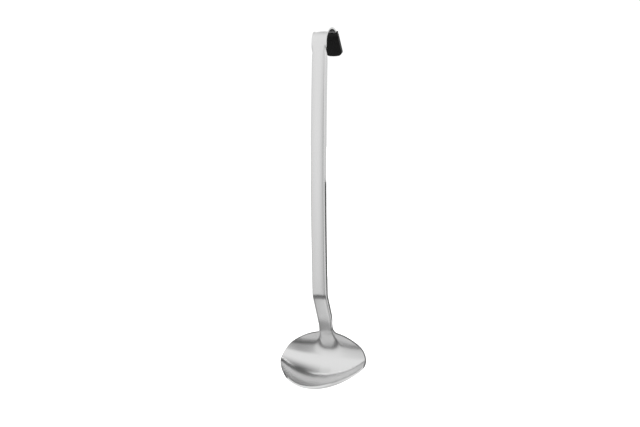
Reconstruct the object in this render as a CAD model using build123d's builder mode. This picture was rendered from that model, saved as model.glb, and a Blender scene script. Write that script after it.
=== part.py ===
# Sauce ladle pressed from one stainless sheet, with a plastic sleeve pushed over the end of its hook.
# The ladle hangs straight down from the hook. +Z is up, -Y is the front that the bowl opens to, and +X is
# the ladle's own width. The origin is the centre of the hook's bend, where the rail goes that it hangs on.
from build123d import *
from math import cos, radians, sin
import os

os.makedirs("parts", exist_ok=True)

# Sheet and strap
sheet = 2.0  # thickness of the steel
strap_width = 17.0  # handle, neck and hook are one strap of this width
half_strap = strap_width / 2
edge_round = 1.5  # rounding along both front edges of the handle

# Hook
hook_radius = 16.5  # outside of the bend
hook_start = 3.16  # degrees past the front where the handle runs into the bend
hook_end = 152.0  # degrees past the front where the bend ends and the back leg begins
leg_length = 20.5  # straight back leg of the hook
leg_corner = 4.0

# Handle, a very long bow that stands forward at its middle
bow_radius = 2500.0
handle_foot = -3.07  # degrees along the bow where the neck is kinked back
kink_radius = 7.0

# Turned-back edges of the handle
flange_depth = 5.5  # how far they reach behind the face
flange_full = 2.7  # degrees along the bow where they have that depth
flange_top = 3.1  # degrees along the bow, just below the bend, where they have faded out
flange_foot = 34.0  # how far down the neck they keep it
flange_end = -8.0  # degrees round the bowl where they have sunk into its back wall

# Neck
neck_lean = 23.5  # degrees from plumb, going back as it goes down
neck_length = 55.0  # from the kink to where the neck runs into the wall of the bowl
tongue_start = -27.0  # degrees round the bowl between which the strap is carried on inside its wall
tongue_end = 4.0
tongue_skin = 0.3  # share of the wall that stays clear of it on either side

# Bowl: every section that holds the cross axis is half an ellipse, wide at the back and narrow at the lip
bowl_radius = 37.5  # outside, in the middle plane
underside_flat = 3.0  # how much closer the underside is to the cross axis than the back wall
underside_angle = 75.0  # degrees round the bowl where it is closest
bowl_half_width = 71.0  # half axis of the ellipse that looks straight back
width_loss = 0.24  # mm of half axis that each degree further round takes away
fan_first = -36
fan_last = 144
fan_step = 15
fan_root = 9.0  # the sections are closed this far from the cross axis

# Rim in the side view, as (distance from the cross axis, degrees round the bowl)
rim_line = [(38.5, -36), (35.0, -25), (29.2, -6), (22.2, 30), (20.6, 56), (22.0, 84), (28.6, 114), (40, 126)]

# Sleeve on the hook
sleeve_wall = 0.9
sleeve_skin = 0.2  # what is left of that inside the bend, where the rail sits
sleeve_start = 131.0  # degrees round the bend where the sleeve begins
sleeve_length = leg_length + 1.6  # along the leg, with the plastic past the end of the steel
sleeve_top_width = 18.2
sleeve_end_width = 19.6
sleeve_corner = 4.2
sleeve_end_bow = 1.3  # how far the middle of its end stands past the corners

# Cuts are carried on this far past the steel that they take away
clearance = 40.0


def on_hook(depth, degrees):
    """Point of the side view on the bend, at this depth under its outside, measured from the front."""
    radius = hook_radius - depth
    return (-radius * cos(radians(degrees)), radius * sin(radians(degrees)))


def on_leg(depth, length):
    """Point of the side view this far down the back leg, at this depth under its outside."""
    start = on_hook(depth, hook_end)
    lean = radians(180 - hook_end)
    return (start[0] + length * sin(lean), start[1] - length * cos(lean))


def on_bow(depth, degrees):
    """Point of the side view on the handle, at this depth behind its face."""
    reach = bow_radius - hook_radius
    centre_y = reach * cos(radians(hook_start))
    centre_z = -reach * sin(radians(hook_start))
    radius = bow_radius - depth
    return (centre_y - radius * cos(radians(degrees)), centre_z + radius * sin(radians(degrees)))


def on_kink(depth):
    """Point of the side view where handle and neck meet, at this depth behind their faces."""
    front = on_bow(0, handle_foot)
    half_turn = (neck_lean + handle_foot) / 2
    lean = radians(neck_lean - half_turn)
    reach = depth / cos(radians(half_turn))
    return (front[0] + reach * cos(lean), front[1] + reach * sin(lean))


def on_neck(depth, length):
    """Point of the side view this far down the neck from the kink, at this depth behind its face."""
    corner = on_kink(0)
    lean = radians(neck_lean)
    return (
        corner[0] + length * sin(lean) + depth * cos(lean),
        corner[1] - length * cos(lean) + depth * sin(lean),
    )


def on_bowl(radius, degrees):
    """Point of the side view about the bowl's cross axis, from straight back round under the bowl."""
    centre = on_neck(sheet - bowl_radius, neck_length)
    return (centre[0] + radius * cos(radians(degrees)), centre[1] - radius * sin(radians(degrees)))


def fan_plane(degrees):
    """Plane that holds the bowl's cross axis and points from it to the wall at this angle."""
    centre = on_bowl(0, 0)
    across = Vector(1, 0, 0)
    outward = Vector(0, cos(radians(degrees)), -sin(radians(degrees)))
    return Plane(origin=(0, centre[0], centre[1]), x_dir=across, z_dir=across.cross(outward))


def fan_section(degrees, inset):
    """Half ellipse of the bowl at this angle, made smaller by the inset."""
    half_width = bowl_half_width - width_loss * degrees
    turn = max(0, degrees) * 90 / underside_angle
    depth = bowl_radius - underside_flat * sin(radians(turn)) ** 2
    with BuildSketch(fan_plane(degrees)) as section:
        Ellipse(half_width - inset, depth - inset)
        with Locations((0, fan_root + bowl_radius)):
            Rectangle(4 * bowl_half_width, 2 * bowl_radius, mode=Mode.INTERSECT)
    return section.sketch.face()


def flange_line(depth, top):
    """Side view of a turned-back edge at this depth, from its top down to the kink."""
    ThreePointArc(on_bow(depth, top), on_bow(depth, 0), on_kink(depth))


def strap_line(depth):
    """Side view of the strap at this depth, from the tip of the back leg down to the bowl."""
    Line(on_leg(depth, leg_length), on_leg(depth, 0))
    ThreePointArc(on_hook(depth, hook_end), on_hook(depth, 90), on_hook(depth, hook_start))
    ThreePointArc(on_bow(depth, hook_start), on_bow(depth, 0), on_kink(depth))
    Line(on_kink(depth), on_neck(depth, neck_length))


bowl_angles = range(fan_first, fan_last + 1, fan_step)

# ---- Ladle: bowl, neck, handle and hook are one pressing ----
with BuildPart() as ladle:
    # hook, face of the handle, and neck, with both edges of the face rounded
    with BuildSketch(Plane.YZ):
        with BuildLine():
            strap_line(0)
            strap_line(sheet)
            Line(on_leg(0, leg_length), on_leg(sheet, leg_length))
            Line(on_neck(0, neck_length), on_neck(sheet, neck_length))
        make_face()
    extrude(amount=half_strap, both=True)
    kink_lines = [Vector(0, *on_kink(depth)) for depth in (0, sheet)]
    fillet([ladle.edges().sort_by_distance(point)[0] for point in kink_lines], kink_radius)
    leg_ends = [Vector(side * half_strap, *on_leg(sheet / 2, leg_length)) for side in (-1, 1)]
    fillet([ladle.edges().sort_by_distance(point)[0] for point in leg_ends], leg_corner)
    face_sides = [Vector(side * half_strap, *on_bow(0, 0)) for side in (-1, 1)]
    fillet([ladle.edges().sort_by_distance(point)[0] for point in face_sides], edge_round)

    # turned-back edges of the handle, which fade out below the hook and into the bowl
    with BuildSketch(Plane.YZ):
        with BuildLine():
            flange_line(edge_round, flange_top)
            flange_line(flange_depth, flange_full)
            Line(on_bow(edge_round, flange_top), on_bow(flange_depth, flange_full))
            Polyline(
                on_kink(edge_round),
                on_neck(edge_round, neck_length),
                on_bowl(bowl_radius - sheet + edge_round, flange_end),
                on_bowl(bowl_radius, flange_end),
                on_neck(flange_depth, flange_foot),
                on_kink(flange_depth),
            )
        make_face()
    extrude(amount=half_strap, both=True)
    with BuildSketch(Plane.YZ):
        with BuildLine():
            flange_line(sheet, hook_start)
            flange_line(2 * flange_depth, hook_start)
            Line(on_bow(sheet, hook_start), on_bow(2 * flange_depth, hook_start))
            Polyline(
                on_kink(sheet),
                on_neck(sheet, neck_length),
                on_bowl(bowl_radius, flange_end),
                on_bowl(bowl_radius + flange_depth, flange_end),
                on_neck(2 * flange_depth, flange_foot),
                on_kink(2 * flange_depth),
            )
        make_face()
    extrude(amount=half_strap - sheet, both=True, mode=Mode.SUBTRACT)

    # the strap is carried on inside the wall of the bowl
    with BuildSketch(Plane.YZ):
        with BuildLine():
            inside = bowl_radius - sheet + tongue_skin * sheet
            outside = bowl_radius - tongue_skin * sheet
            CenterArc(on_bowl(0, 0), inside, -tongue_end, tongue_end - tongue_start)
            CenterArc(on_bowl(0, 0), outside, -tongue_end, tongue_end - tongue_start)
            Line(on_bowl(inside, tongue_end), on_bowl(outside, tongue_end))
            Line(on_bowl(inside, tongue_start), on_bowl(outside, tongue_start))
        make_face()
    extrude(amount=half_strap, both=True)

    # bowl as a full shell, then its mouth is cut along the line of the rim
    with BuildPart(mode=Mode.PRIVATE) as bowl:
        loft([fan_section(angle, 0) for angle in bowl_angles])
        loft([fan_section(angle, sheet) for angle in bowl_angles], mode=Mode.SUBTRACT)
        with BuildSketch(Plane.YZ):
            with BuildLine():
                rim = Spline([on_bowl(*place) for place in rim_line])
                low_front = (rim @ 1) - (clearance, 0)
                high_back = (rim @ 0) + (0, clearance)
                Polyline(rim @ 1, low_front, (low_front.X, high_back.Y), high_back, rim @ 0)
            make_face()
        extrude(amount=bowl_half_width + clearance, both=True, mode=Mode.SUBTRACT)
    add(bowl.part)

ladle.part.label = "ladle"
export_step(ladle.part, "parts/ladle.step")

# ---- Hook sleeve: black plastic, pushed up over the back leg and the end of the bend ----
with BuildPart() as hook_sleeve:
    # outside: the side view of the leg made thicker, then trimmed to a tapered shape with a bowed end
    with BuildSketch(Plane.YZ):
        with BuildLine():
            for depth in (-sleeve_wall, sheet + sleeve_wall):
                Line(on_leg(depth, sleeve_length), on_leg(depth, 0))
                middle = (sleeve_start + hook_end) / 2
                ThreePointArc(on_hook(depth, hook_end), on_hook(depth, middle), on_hook(depth, sleeve_start))
            Line(on_hook(-sleeve_wall, sleeve_start), on_hook(sheet + sleeve_wall, sleeve_start))
            Line(on_leg(-sleeve_wall, sleeve_length), on_leg(sheet + sleeve_wall, sleeve_length))
        make_face()
    extrude(amount=sleeve_end_width, both=True)
    with BuildSketch(Plane.XZ) as sleeve_face:
        with BuildLine():
            top = on_hook(-sleeve_wall, sleeve_start)[1] + sleeve_wall
            bottom = on_leg(0, sleeve_length)[1] - sleeve_wall
            top_corner = (sleeve_top_width / 2, top)
            end_corner = (sleeve_end_width / 2, bottom + sleeve_end_bow)
            Polyline((-top_corner[0], top), top_corner, end_corner)
            ThreePointArc(end_corner, (0, bottom), (-end_corner[0], end_corner[1]))
            Line((-end_corner[0], end_corner[1]), (-top_corner[0], top))
        make_face()
        fillet(sleeve_face.vertices().sort_by(Axis.Y)[:2], sleeve_corner)
    extrude(amount=clearance, both=True, mode=Mode.INTERSECT)
    # the rail's seat in the bend is kept clear
    seat_radius = hook_radius - sheet - sleeve_skin
    Cylinder(seat_radius, 2 * strap_width, rotation=(0, 90, 0), mode=Mode.SUBTRACT)
    add(ladle.part, mode=Mode.SUBTRACT)

hook_sleeve.part.label = "hook_sleeve"
export_step(hook_sleeve.part, "parts/hook_sleeve.step")
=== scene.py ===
from math import atan2, cos, pi, radians, sin, sqrt, tan

import bmesh
import bpy
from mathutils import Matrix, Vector


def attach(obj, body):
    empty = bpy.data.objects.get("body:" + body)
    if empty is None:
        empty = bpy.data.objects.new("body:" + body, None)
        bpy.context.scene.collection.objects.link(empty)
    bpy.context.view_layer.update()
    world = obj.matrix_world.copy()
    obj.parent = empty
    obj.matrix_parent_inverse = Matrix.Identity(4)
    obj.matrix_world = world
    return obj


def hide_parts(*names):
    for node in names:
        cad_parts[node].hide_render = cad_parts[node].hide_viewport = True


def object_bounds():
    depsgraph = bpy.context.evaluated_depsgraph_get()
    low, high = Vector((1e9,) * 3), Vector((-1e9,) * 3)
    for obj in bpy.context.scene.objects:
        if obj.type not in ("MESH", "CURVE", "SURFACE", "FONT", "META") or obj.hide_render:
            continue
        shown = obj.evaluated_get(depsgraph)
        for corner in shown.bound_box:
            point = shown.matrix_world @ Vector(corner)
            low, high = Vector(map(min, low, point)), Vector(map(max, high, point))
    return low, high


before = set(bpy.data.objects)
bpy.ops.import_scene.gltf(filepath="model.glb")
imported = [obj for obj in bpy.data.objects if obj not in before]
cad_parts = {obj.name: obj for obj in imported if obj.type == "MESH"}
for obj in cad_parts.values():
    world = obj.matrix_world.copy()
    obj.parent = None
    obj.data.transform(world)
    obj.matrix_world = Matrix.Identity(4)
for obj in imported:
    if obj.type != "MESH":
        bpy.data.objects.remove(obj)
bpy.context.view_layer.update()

# ---- Ladle ----
# Bowl, neck, handle and hook are one pressing of 2 mm stainless sheet, with no weld or rivet anywhere.
# The flat blank is drawn into the bowl, its long edges are turned back along the handle, and the end is
# rolled over into the hook.
sheet = 0.002
pressed_sheet = 0.0019  # after it is drawn and ground
strap_half = 0.0085
face_half = 0.0063  # the part of the face between its rounded edges
edge_roll = 0.0022
face_crown = 0.00045  # how much lower the face is beside its edges than along its middle
flange_depth = 0.0055
hook_radius = 0.0165
hook_start, hook_end = 3.16, 152.0
leg_length = 0.0205
bow_radius = 2.5
handle_foot = -3.07
kink_radius = 0.020
neck_lean = 23.5
neck_length = 0.055
bend_lower = 0.0022  # how much lower the neck bends than where its straight lines cross
neck_line = 0.0455  # how far down the neck the shoulders of the bowl begin
bowl_radius = 0.0375
underside_flat = 0.003
underside_angle = 75.0
bowl_half_width = 0.071
width_loss = 0.00024
# turn in degrees round the bowl's cross axis, and how many millimetres from it the rim is there
rim_places = [
    (-36, 38.5), (-25, 35.0), (-6, 29.2), (30, 22.2),
    (56, 20.6), (84, 22.0), (114, 28.6), (126, 40.0),
]
rim_trim = -0.0001
shoulder_round = 0.004
ridge_height = 0.0013
ridge_start, ridge_top = -0.025, -0.004  # places along the blank, from the neck's line down into the bowl
run_out_start, run_out_end = -0.005, 0.026
wall_recess = 0.0010
recess_start, recess_end = 0.009, 0.032  # across the bowl
face_spread = 0.010  # how much the neck's face widens as it runs into the bowl
spread_start, spread_end = -0.006, 0.016
neck_crown = 0.3  # share of the handle's crown that the neck has

bow_reach = bow_radius - hook_radius
bow_centre = Vector((bow_reach * cos(radians(hook_start)), -bow_reach * sin(radians(hook_start))))
kink_corner = bow_centre + bow_radius * Vector((-cos(radians(handle_foot)), sin(radians(handle_foot))))
down_the_neck = Vector((sin(radians(neck_lean)), -cos(radians(neck_lean))))
neck_end = kink_corner + neck_length * down_the_neck
bowl_axis = neck_end - (bowl_radius - sheet) * Vector((cos(radians(neck_lean)), sin(radians(neck_lean))))
wall_radius = bowl_radius - sheet


def ease(start, end, value):
    share = min(1.0, max(0.0, (value - start) / (end - start)))
    return share * share * (3 - 2 * share)


def behind(turn):
    """Direction from the face into the steel where the face has turned this far."""
    return Vector((cos(radians(turn)), -sin(radians(turn))))


def rim_radius(turn):
    """Distance of the rim from the bowl's cross axis."""
    past = max(0.0, rim_places[0][0] - turn, turn - rim_places[-1][0])
    turn = min(max(turn, rim_places[0][0]), rim_places[-1][0])
    last = len(rim_places) - 1
    k = max(0, min(last - 1, sum(place[0] <= turn for place in rim_places) - 1))
    (a0, r0), (a1, r1) = rim_places[k], rim_places[k + 1]
    slope = []
    for j in (k, k + 1):
        lower, upper = rim_places[max(0, j - 1)], rim_places[min(last, j + 1)]
        slope.append((upper[1] - lower[1]) / (upper[0] - lower[0]))
    span = a1 - a0
    f = (turn - a0) / span
    radius = (2 * f**3 - 3 * f**2 + 1) * r0 + (f**3 - 2 * f**2 + f) * span * slope[0]
    radius += (3 * f**2 - 2 * f**3) * r1 + (f**3 - f**2) * span * slope[1]
    return (radius + past / 2) / 1000


def bowl_half_axes(turn):
    """Half width and depth of the inside of the bowl, in the plane through its cross axis at this turn."""
    sunk = max(0.0, turn) * 90 / underside_angle
    depth = bowl_radius - underside_flat * sin(radians(sunk)) ** 2
    return bowl_half_width - width_loss * turn - sheet, depth - sheet


def turn_at(along):
    return -neck_lean + along / wall_radius * 180 / pi


def reach(turn, across):
    half_width, depth = bowl_half_axes(turn)
    return depth * sqrt(max(0.0, 1 - (across / half_width) ** 2))


def inside_bowl(along, across):
    """Above nought on the bowl's side of its rim."""
    turn = turn_at(along)
    half_width, depth = bowl_half_axes(turn)
    radius = reach(turn, across)
    lean_out = Vector((across / half_width**2, radius / depth**2))
    cut = sheet * lean_out[1] / lean_out.length if lean_out.length else sheet
    return radius - (rim_radius(turn) - cut) - rim_trim


def inside_blank(along, across):
    """Above nought inside the outline of bowl and neck, with the shoulders between them rounded."""
    bowl = 2 * inside_bowl(along, across)
    neck = strap_half - abs(across) - max(0.0, along)
    blend = max(0.0, shoulder_round - abs(bowl - neck)) / shoulder_round
    return max(bowl, neck) + blend * blend * shoulder_round / 4


def ridge(along):
    """How far the middle of the neck stands forward of its line as it runs into the bowl."""
    return ridge_height * ease(ridge_start, ridge_top, along) * (1 - ease(run_out_start, run_out_end, along))


def face_share(along, across):
    """1 on the face of the neck, 0 on the wall beside it."""
    spread = face_spread * ease(spread_start, spread_end, along)
    return 1 - ease(face_half - spread / 3, strap_half + spread, abs(across))


def crowned(across):
    return face_crown * min(1.0, (across / face_half) ** 2)


def pressed(along, across):
    """Where a point of the blank ends up in the bowl or at the foot of the neck."""
    turn = turn_at(max(0.0, along))
    into = behind(turn)
    depth = bowl_half_axes(turn)[1]
    place = neck_end + along * down_the_neck if along < 0 else bowl_axis + depth * into
    rise = depth - reach(turn, across)
    beside_neck = 1 - ease(run_out_start, run_out_end, along)
    beside_neck *= 1 - ease(recess_start, recess_end, abs(across))
    wall = wall_recess * beside_neck - rise
    face = neck_crown * crowned(across) - ridge(along) - rise
    share = face_share(along, across)
    y, z = place + (share * face + (1 - share) * wall) * into
    return Vector((across, y, z))


columns = 6  # across half of the face
roll_columns = 6
flange_columns = 3
half_columns = columns + roll_columns + flange_columns
rim_steps = 120
rim_crowding = 1.3  # above 1, the steps round the rim are closer together near the neck
rings = 80
ring_crowding = 1.1  # above 1, the rings are closer together near the rim
middle_turn = 52


def flat_across(column):
    if column <= columns:
        return face_half * column / columns
    return face_half + (strap_half - face_half) * (column - columns) / (roll_columns + flange_columns)


# the blank of the bowl grows in rings round its middle, and one stretch of its outline is the neck's line
middle_along = (middle_turn + neck_lean) * pi / 180 * wall_radius
top_along = neck_line - neck_length
outline = []
for column in range(-half_columns, half_columns + 1):
    side = 1 if column >= 0 else -1
    outline.append((top_along, side * flat_across(abs(column))))
neck_angle = atan2(strap_half, middle_along - top_along)
right_side = []
for step in range(1, rim_steps + 1):
    angle = neck_angle + (pi - neck_angle) * (step / rim_steps) ** rim_crowding
    far = 0.03
    while far < 0.09 and inside_blank(middle_along - far * cos(angle), far * sin(angle)) > 0:
        far += 0.001
    near = far - 0.001
    for halving in range(20):
        half = (near + far) / 2
        if inside_blank(middle_along - half * cos(angle), half * sin(angle)) > 0:
            near = half
        else:
            far = half
    right_side.append((middle_along - near * cos(angle), near * sin(angle)))
left_side = [(along, -across) for along, across in reversed(right_side[:-1])]
outline = outline + right_side + left_side



def set_out(mesh, name):
    """Makes the object called name from a finished bmesh."""
    data = bpy.data.meshes.new(name)
    mesh.to_mesh(data)
    mesh.free()
    thing = bpy.data.objects.new(name, data)
    bpy.context.scene.collection.objects.link(thing)
    return thing


ladle_mesh = bmesh.new()
blank_place = {}
first = bmesh.ops.create_circle(ladle_mesh, segments=len(outline), radius=1, cap_ends=True, cap_tris=True)
hub = [v for v in first["verts"] if len(v.link_edges) > 3]
ring = sorted([v for v in first["verts"] if v not in hub], key=lambda v: atan2(v.co.y, v.co.x))
for ring_number in range(1, rings + 1):
    share = 1 - (1 - ring_number / rings) ** ring_crowding
    if ring_number > 1:
        edges = [ladle_mesh.edges.get((ring[i - 1], ring[i])) for i in range(len(ring))]
        grown = bmesh.ops.extrude_edge_only(ladle_mesh, edges=edges)["geom"]
        new = {v for v in grown if isinstance(v, bmesh.types.BMVert)}
        ring = [next(e.other_vert(v) for e in v.link_edges if e.other_vert(v) in new) for v in ring]
    for v, (along, across) in zip(ring, outline):
        blank_place[v] = (middle_along + share * (along - middle_along), share * across)
for v in hub:
    blank_place[v] = (middle_along, 0.0)
for v, place in blank_place.items():
    v.co = pressed(*place)

# from there the strap is drawn on upwards, one row across it after the other
foot_run_in = 0.018  # along which the turned-back edges deepen above the neck's line
top_run_out_start, top_run_out_end = 0.020, 0.003  # below the hook, where they fade out
roll_start, roll_full = 0.0016, 0.0042  # how deep the edges are where their roll begins and is full
least_flange = 0.0006
crown_start, crown_full = 0.008, 0.004  # below and above the kink, where the full crown begins and is reached
hook_crown_loss = 0.65  # share of the crown that is gone at the hook
tip_round = 0.004
tip_narrowing = 0.45
stations = []  # (middle of the face in the side view, turn of the face, way up from the neck's line)
bend_turn = handle_foot - bend_lower / bow_radius * 180 / pi
bend_corner = bow_centre - bow_radius * behind(bend_turn)
neck_top = kink_corner + neck_line * down_the_neck
straight = neck_top - bend_corner
lean = atan2(straight.x, -straight.y) * 180 / pi
kink_turn = (lean + bend_turn) / 2
kink_reach = kink_radius * tan(radians(kink_turn))
rows = 18
for row in range(1, rows + 1):
    down = straight.length + (kink_reach - straight.length) * row / rows
    stations.append((bend_corner + down * straight.normalized(), -lean, straight.length - down))
kink_centre = stations[-1][0] + kink_radius * behind(-lean)
rows = 12
for row in range(1, rows + 1):
    turn = -lean + 2 * kink_turn * row / rows
    up = straight.length - kink_reach + kink_radius * radians(turn + lean)
    stations.append((kink_centre - kink_radius * behind(turn), turn, up))
handle_start = bend_turn + kink_reach / bow_radius * 180 / pi
rows = 90
base = stations[-1][2]
for row in range(1, rows + 1):
    turn = handle_start + (hook_start - handle_start) * row / rows
    up = base + bow_radius * radians(turn - handle_start)
    stations.append((bow_centre - bow_radius * behind(turn), turn, up))
rows = 60
handle_top = stations[-1][2]
for row in range(1, rows + 1):
    turn = hook_start + (hook_end - hook_start) * row / rows
    up = handle_top + hook_radius * radians(turn - hook_start)
    stations.append((-hook_radius * behind(turn), turn, up))
rows = 16
leg_down = Vector((sin(radians(180 - hook_end)), -cos(radians(180 - hook_end))))
leg_top = -hook_radius * behind(hook_end)
bend_end = stations[-1][2]
for row in range(1, rows + 1):
    down = leg_length * row / rows
    stations.append((leg_top + down * leg_down, hook_end, bend_end + down))
tip = stations[-1][2]
foot_depth = (pressed(top_along, 0).yz - pressed(top_along, strap_half).yz).length


def flange_at(up):
    """How far the edges are turned back at this height above the neck's line."""
    foot = ease(0.0, foot_run_in, up)
    head = 1 - ease(handle_top - top_run_out_start, handle_top - top_run_out_end, up)
    return (foot_depth + (flange_depth - foot_depth) * foot) * head


def section(column, up):
    """Place across the strap and depth behind the middle of the face."""
    turned = flange_at(up)
    across = flat_across(column)
    crown_share = ease(neck_line - crown_start, neck_line + crown_full, up)
    crown = crowned(across) * (neck_crown + (1 - neck_crown) * crown_share)
    crown *= 1 - hook_crown_loss * ease(handle_top - top_run_out_start, handle_top, up)
    share = face_share(-neck_length, across)
    shallow_place = Vector((across, share * crown + (1 - share) * max(turned, crown)))
    if column <= columns:
        deep_place = Vector((across, crown))
    elif column <= columns + roll_columns:
        bend = pi / 2 * (column - columns) / roll_columns
        deep_place = Vector((face_half + edge_roll * sin(bend), face_crown + edge_roll * (1 - cos(bend))))
    else:
        rolled = face_crown + edge_roll
        part = (column - columns - roll_columns) / flange_columns
        deep_place = Vector((strap_half, rolled + (max(turned, rolled + least_flange) - rolled) * part))
    return shallow_place.lerp(deep_place, ease(roll_start, roll_full, turned))


row_verts = ring[: 2 * half_columns + 1]
for middle, turn, up in stations:
    edges = [ladle_mesh.edges.get((row_verts[i], row_verts[i + 1])) for i in range(2 * half_columns)]
    grown = bmesh.ops.extrude_edge_only(ladle_mesh, edges=edges)["geom"]
    new = {v for v in grown if isinstance(v, bmesh.types.BMVert)}
    row_verts = [next(e.other_vert(v) for e in v.link_edges if e.other_vert(v) in new) for v in row_verts]
    narrow = 1 - tip_narrowing * max(0.0, (up - tip + tip_round) / tip_round) ** 2
    along = top_along - up
    for column, v in enumerate(row_verts, -half_columns):
        side = 1 if column >= 0 else -1
        across, depth = section(abs(column), up)
        y, z = middle + (depth - ridge(along)) * behind(turn)
        v.co = Vector((side * across * narrow, y, z))
        blank_place[v] = (along, side * flat_across(abs(column)))

sheet_map = ladle_mesh.loops.layers.uv.new("sheet")
for face in ladle_mesh.faces:
    face.smooth = True
    for loop in face.loops:
        along, across = blank_place[loop.vert]
        loop[sheet_map].uv = (across, along)
ladle_mesh.normal_update()
facing = sum(face.normal.y * face.calc_area() for face in ladle_mesh.faces)
if facing > 0:
    bmesh.ops.reverse_faces(ladle_mesh, faces=ladle_mesh.faces)
ladle = set_out(ladle_mesh, "ladle_pressing")
thickness = ladle.modifiers.new("sheet thickness", "SOLIDIFY")
thickness.thickness = pressed_sheet
thickness.offset = -1
thickness.use_even_offset = True
edge = ladle.modifiers.new("ground edge", "BEVEL")
edge.limit_method = "ANGLE"
edge.angle_limit = radians(50)
edge.width = 0.00028
edge.segments = 3

# satin stainless: fine lines from the brushing belt run along the sheet, and handling leaves it a little
# uneven
steel = bpy.data.materials.new("brushed stainless")
steel.use_nodes = True
nodes, links = steel.node_tree.nodes, steel.node_tree.links
skin = nodes["Principled BSDF"]
skin.inputs["Metallic"].default_value = 1.0
along_sheet = nodes.new("ShaderNodeUVMap")
along_sheet.uv_map = "sheet"
brushing = nodes.new("ShaderNodeMapping")
brushing.inputs["Scale"].default_value = (5200, 60, 1)
lines = nodes.new("ShaderNodeTexNoise")
lines.inputs["Scale"].default_value = 1.0
lines.inputs["Detail"].default_value = 3.0
links.new(along_sheet.outputs["UV"], brushing.inputs["Vector"])
links.new(brushing.outputs["Vector"], lines.inputs["Vector"])
place = nodes.new("ShaderNodeTexCoord")
cloudy = nodes.new("ShaderNodeTexNoise")
cloudy.inputs["Scale"].default_value = 38.0
cloudy.inputs["Detail"].default_value = 4.0
links.new(place.outputs["Object"], cloudy.inputs["Vector"])
shade = nodes.new("ShaderNodeMapRange")
shade.inputs["To Min"].default_value = 0.70
shade.inputs["To Max"].default_value = 0.76
links.new(lines.outputs["Fac"], shade.inputs["Value"])
tint = nodes.new("ShaderNodeCombineColor")
for channel in ("Red", "Green", "Blue"):
    links.new(shade.outputs["Result"], tint.inputs[channel])
links.new(tint.outputs["Color"], skin.inputs["Base Color"])
uneven = nodes.new("ShaderNodeMath")
uneven.operation = "ADD"
links.new(lines.outputs["Fac"], uneven.inputs[0])
links.new(cloudy.outputs["Fac"], uneven.inputs[1])
dull = nodes.new("ShaderNodeMapRange")
dull.inputs["From Max"].default_value = 2.0
dull.inputs["To Min"].default_value = 0.14
dull.inputs["To Max"].default_value = 0.27
links.new(uneven.outputs["Value"], dull.inputs["Value"])
links.new(dull.outputs["Result"], skin.inputs["Roughness"])
grain = nodes.new("ShaderNodeBump")
grain.inputs["Strength"].default_value = 0.10
grain.inputs["Distance"].default_value = 0.00003
links.new(lines.outputs["Fac"], grain.inputs["Height"])
links.new(grain.outputs["Normal"], skin.inputs["Normal"])
ladle.data.materials.append(steel)
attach(ladle, "root")
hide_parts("ladle")

# ---- Hook sleeve ----
# A moulded sleeve of black plastic, pushed up over the back leg so that the hook doesn't scratch the rail.
# It is a little wider at its closed end, and its edges are round.
sleeve_wall = 0.0009
sleeve_start = 131.0
sleeve_length = leg_length + 0.0016
sleeve_top_half, sleeve_end_half = 0.0091, 0.0098
sleeve_corner = 0.0042
sleeve_bow = 0.0013
seat_relief = 0.7  # share of the wall that is gone inside the bend, where the rail sits
relief_run_out = 0.004
slow_down = 0.6  # share of the sleeve's length after which its rows crowd towards the closed end
mouth_lip = 0.0005
mouth_set_back = 0.0006
bend_length = hook_radius * radians(hook_end - sleeve_start)
sleeve_total = bend_length + sleeve_length

sleeve_mesh = bmesh.new()
bmesh.ops.create_cube(sleeve_mesh, size=2)
long_edges = [e for e in sleeve_mesh.edges if abs(e.verts[0].co.z - e.verts[1].co.z) > 1]
bmesh.ops.subdivide_edges(sleeve_mesh, edges=long_edges, cuts=39, use_grid_fill=True)
wide_edges = [e for e in sleeve_mesh.edges if abs(e.verts[0].co.x - e.verts[1].co.x) > 1]
bmesh.ops.subdivide_edges(sleeve_mesh, edges=wide_edges, cuts=23, use_grid_fill=True)
thick_edges = [e for e in sleeve_mesh.edges if abs(e.verts[0].co.y - e.verts[1].co.y) > 1]
bmesh.ops.subdivide_edges(sleeve_mesh, edges=thick_edges, cuts=3, use_grid_fill=True)
mouth = [f for f in sleeve_mesh.faces if all(v.co.z > 0.99 for v in f.verts)]
for v in sleeve_mesh.verts:
    level = (1 - v.co.z) / 2
    if level >= slow_down:
        level = slow_down + (1 - slow_down) * sin((level - slow_down) / (1 - slow_down) * pi / 2)
    down = sleeve_total * level
    half = sleeve_top_half + (sleeve_end_half - sleeve_top_half) * down / sleeve_total
    past = max(0.0, down - sleeve_total + sleeve_corner)
    half += -sleeve_corner + sqrt(max(0.0, sleeve_corner**2 - past**2))
    across = v.co.x * half
    down -= sleeve_bow * (down / sleeve_total) ** 4 * (across / sleeve_end_half) ** 2
    depth = sheet / 2 + v.co.y * (sheet / 2 + sleeve_wall)
    if v.co.y > 0:
        relief = seat_relief * (1 - ease(bend_length, bend_length + relief_run_out, down))
        depth -= v.co.y * sleeve_wall * relief
    if down < bend_length:
        turn = sleeve_start + down / hook_radius * 180 / pi
        y, z = -(hook_radius - depth) * behind(turn)
    else:
        y, z = leg_top + (down - bend_length) * leg_down + depth * behind(hook_end)
    v.co = Vector((across, y, z))
bmesh.ops.inset_region(sleeve_mesh, faces=mouth, thickness=mouth_lip, use_even_offset=True)
set_back = mouth_set_back * Vector((0, sin(radians(sleeve_start)), cos(radians(sleeve_start))))
for v in {v for f in mouth for v in f.verts}:
    v.co += set_back
bmesh.ops.recalc_face_normals(sleeve_mesh, faces=sleeve_mesh.faces)
for face in sleeve_mesh.faces:
    face.smooth = True
sleeve = set_out(sleeve_mesh, "sleeve_moulding")
round_edges = sleeve.modifiers.new("round edges", "BEVEL")
round_edges.limit_method = "ANGLE"
round_edges.angle_limit = radians(40)
round_edges.width = 0.0006
round_edges.segments = 4

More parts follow.
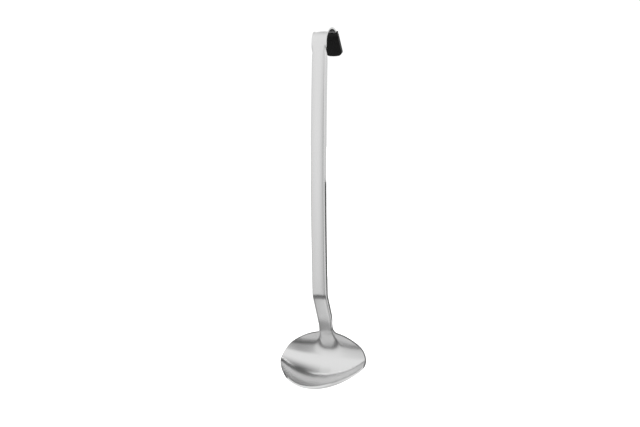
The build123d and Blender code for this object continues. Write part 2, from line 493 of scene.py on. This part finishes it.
plastic = bpy.data.materials.new("black plastic")
plastic.use_nodes = True
nodes, links = plastic.node_tree.nodes, plastic.node_tree.links
skin = nodes["Principled BSDF"]
skin.inputs["IOR"].default_value = 1.48
skin.inputs["Specular IOR Level"].default_value = 0.22
place = nodes.new("ShaderNodeTexCoord")
moulded = nodes.new("ShaderNodeTexNoise")
moulded.inputs["Scale"].default_value = 1400.0
moulded.inputs["Detail"].default_value = 3.0
links.new(place.outputs["Object"], moulded.inputs["Vector"])
rubbed = nodes.new("ShaderNodeTexNoise")
rubbed.inputs["Scale"].default_value = 160.0
rubbed.inputs["Detail"].default_value = 5.0
links.new(place.outputs["Object"], rubbed.inputs["Vector"])
dull = nodes.new("ShaderNodeMapRange")
dull.inputs["To Min"].default_value = 0.30
dull.inputs["To Max"].default_value = 0.46
links.new(rubbed.outputs["Fac"], dull.inputs["Value"])
links.new(dull.outputs["Result"], skin.inputs["Roughness"])
colour = nodes.new("ShaderNodeValToRGB")
colour.color_ramp.elements[0].color = (0.0025, 0.0025, 0.0025, 1)
colour.color_ramp.elements[1].color = (0.007, 0.007, 0.007, 1)
links.new(rubbed.outputs["Fac"], colour.inputs["Fac"])
links.new(colour.outputs["Color"], skin.inputs["Base Color"])
grain = nodes.new("ShaderNodeBump")
grain.inputs["Strength"].default_value = 0.15
grain.inputs["Distance"].default_value = 0.00003
links.new(moulded.outputs["Fac"], grain.inputs["Height"])
links.new(grain.outputs["Normal"], skin.inputs["Normal"])
sleeve.data.materials.append(plastic)
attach(sleeve, "root")
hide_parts("hook_sleeve")

# ---- Studio ----
# A white floor lies well below the ladle, and a light tent round it has panels that are darker low in front,
# overhead and near the middle at eye level, and brightest high at the back. A dark card slopes away behind
# the lower handle and the bowl. Tent and card show only in what they reflect, so that the steel has shape.
floor_drop = 0.45
tent_radius = 4
tent_light = 2
card_top, card_foot = Vector((0.012, -0.15)), Vector((1.0, -0.55))
card_half = 1.0

lowest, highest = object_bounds()
tent_middle = (lowest + highest) / 2
floor_mesh = bmesh.new()
bmesh.ops.create_grid(floor_mesh, x_segments=1, y_segments=1, size=30)
bmesh.ops.translate(floor_mesh, verts=floor_mesh.verts, vec=(0, 0, lowest.z - floor_drop))
floor = set_out(floor_mesh, "floor")
floor.visible_glossy = False
paper = bpy.data.materials.new("white paper")
paper.use_nodes = True
skin = paper.node_tree.nodes["Principled BSDF"]
skin.inputs["Base Color"].default_value = (0.85, 0.85, 0.85, 1)
skin.inputs["Roughness"].default_value = 0.9
skin.inputs["Emission Color"].default_value = (1, 1, 1, 1)
skin.inputs["Emission Strength"].default_value = 0.5
floor.data.materials.append(paper)

tent_mesh = bmesh.new()
bmesh.ops.create_uvsphere(tent_mesh, u_segments=48, v_segments=24, radius=tent_radius)
bmesh.ops.reverse_faces(tent_mesh, faces=tent_mesh.faces)
bmesh.ops.translate(tent_mesh, verts=tent_mesh.verts, vec=tent_middle)
tent = set_out(tent_mesh, "light_tent")
tent.visible_camera = False
tent.visible_shadow = False


def fill_ramp(ramp, places, start, end):
    """Puts each (place, light) on the ramp, whose length stands for start to end."""
    while len(ramp.elements) < len(places):
        ramp.elements.new(0.5)
    for element, (place, light) in zip(ramp.elements, places):
        element.position = (place - start) / (end - start)
    for element, (place, light) in zip(ramp.elements, places):
        element.color = (light, light, light, 1)


panels = bpy.data.materials.new("tent panels")
panels.use_nodes = True
nodes, links = panels.node_tree.nodes, panels.node_tree.links
nodes.clear()
place = nodes.new("ShaderNodeTexCoord")
centred = nodes.new("ShaderNodeMapping")
centred.inputs["Location"].default_value = [-c / tent_radius for c in tent_middle]
centred.inputs["Scale"].default_value = (1 / tent_radius,) * 3
links.new(place.outputs["Object"], centred.inputs["Vector"])
split = nodes.new("ShaderNodeSeparateXYZ")
links.new(centred.outputs["Vector"], split.inputs["Vector"])
rise = nodes.new("ShaderNodeMath")
rise.operation = "ARCSINE"
links.new(split.outputs["Z"], rise.inputs[0])
beyond = nodes.new("ShaderNodeMath")
beyond.operation = "SUBTRACT"
beyond.inputs[0].default_value = pi
links.new(rise.outputs["Value"], beyond.inputs[1])
is_behind = nodes.new("ShaderNodeMath")
is_behind.operation = "GREATER_THAN"
is_behind.inputs[1].default_value = 0
links.new(split.outputs["Y"], is_behind.inputs[0])
climb = nodes.new("ShaderNodeMix")
links.new(is_behind.outputs["Value"], climb.inputs["Factor"])
links.new(rise.outputs["Value"], climb.inputs["A"])
links.new(beyond.outputs["Value"], climb.inputs["B"])
over = nodes.new("ShaderNodeMapRange")
over.inputs["From Min"].default_value = -pi / 2
over.inputs["From Max"].default_value = 3 * pi / 2
links.new(climb.outputs["Result"], over.inputs["Value"])
# from the floor up the front, overhead and down the back, in degrees above the front's horizon
band_places = [
    (-90, 0.90), (-54, 0.90), (-45, 0.32), (-27, 0.12), (-18, 0.85), (0, 1.0), (48, 1.0), (60, 0.86),
    (72, 0.50), (83, 0.16), (99, 0.08), (108, 1.6), (150, 1.6), (168, 0.9), (190, 0.75), (270, 0.7),
]
bands = nodes.new("ShaderNodeValToRGB")
fill_ramp(bands.color_ramp, [(turn, light / tent_light) for turn, light in band_places], -90, 270)
links.new(over.outputs["Result"], bands.inputs["Fac"])
# from side to side, as shares of the tent's radius
flag_places = [
    (-1, 0.80), (-0.75, 0.86), (-0.5, 1.0), (-0.3, 0.97), (-0.1, 0.55),
    (0.1, 0.45), (0.4, 0.7), (0.7, 0.95), (1, 0.9),
]
side = nodes.new("ShaderNodeMapRange")
side.inputs["From Min"].default_value = -1
side.inputs["From Max"].default_value = 1
links.new(split.outputs["X"], side.inputs["Value"])
flags = nodes.new("ShaderNodeValToRGB")
fill_ramp(flags.color_ramp, flag_places, -1, 1)
links.new(side.outputs["Result"], flags.inputs["Fac"])
# the flags hang only at about eye level
level = nodes.new("ShaderNodeValToRGB")
fill_ramp(level.color_ramp, [(-35, 0), (-15, 1), (6, 1), (16, 0)], -90, 270)
links.new(over.outputs["Result"], level.inputs["Fac"])
both = nodes.new("ShaderNodeMix")
both.data_type = "RGBA"
both.blend_type = "MULTIPLY"
links.new(level.outputs["Color"], both.inputs["Factor"])
links.new(bands.outputs["Color"], both.inputs["A"])
links.new(flags.outputs["Color"], both.inputs["B"])
glow = nodes.new("ShaderNodeEmission")
glow.inputs["Strength"].default_value = tent_light
links.new(both.outputs["Result"], glow.inputs["Color"])
out = nodes.new("ShaderNodeOutputMaterial")
links.new(glow.outputs["Emission"], out.inputs["Surface"])
tent.data.materials.append(panels)

felt = bpy.data.materials.new("dark felt")
felt.use_nodes = True
skin = felt.node_tree.nodes["Principled BSDF"]
skin.inputs["Base Color"].default_value = (0, 0, 0, 1)
skin.inputs["Specular IOR Level"].default_value = 0
skin.inputs["Emission Color"].default_value = (0.12, 0.12, 0.12, 1)
skin.inputs["Emission Strength"].default_value = 1
card_mesh = bmesh.new()
bmesh.ops.create_grid(card_mesh, x_segments=1, y_segments=1, size=1)
for v in card_mesh.verts:
    y, z = card_top.lerp(card_foot, (v.co.y + 1) / 2)
    v.co = Vector((v.co.x * card_half, y, z))
card = set_out(card_mesh, "card_behind_bowl")
card.visible_camera = False
card.visible_shadow = False
card.visible_diffuse = False
card.data.materials.append(felt)

world = bpy.data.worlds.new("white room")
world.use_nodes = True
world.node_tree.nodes["Background"].inputs["Color"].default_value = (1, 1, 1, 1)
world.node_tree.nodes["Background"].inputs["Strength"].default_value = 1.05
bpy.context.scene.world = world
bpy.context.scene.view_settings.view_transform = "Standard"

# ---- Camera ----
# It stands to the right of the ladle's front and looks a little down.
camera_turn, camera_pitch = radians(26), radians(4.8)
camera_data = bpy.data.cameras.new("camera")
camera_data.lens = 60
camera = bpy.data.objects.new("camera", camera_data)
bpy.context.scene.collection.objects.link(camera)
camera.location = (0.50168, -1.04170, -0.0867)
level_share = cos(camera_pitch)
ahead = Vector((-sin(camera_turn) * level_share, cos(camera_turn) * level_share, -sin(camera_pitch)))
camera.rotation_euler = ahead.to_track_quat("-Z", "Y").to_euler()
bpy.context.scene.camera = camera
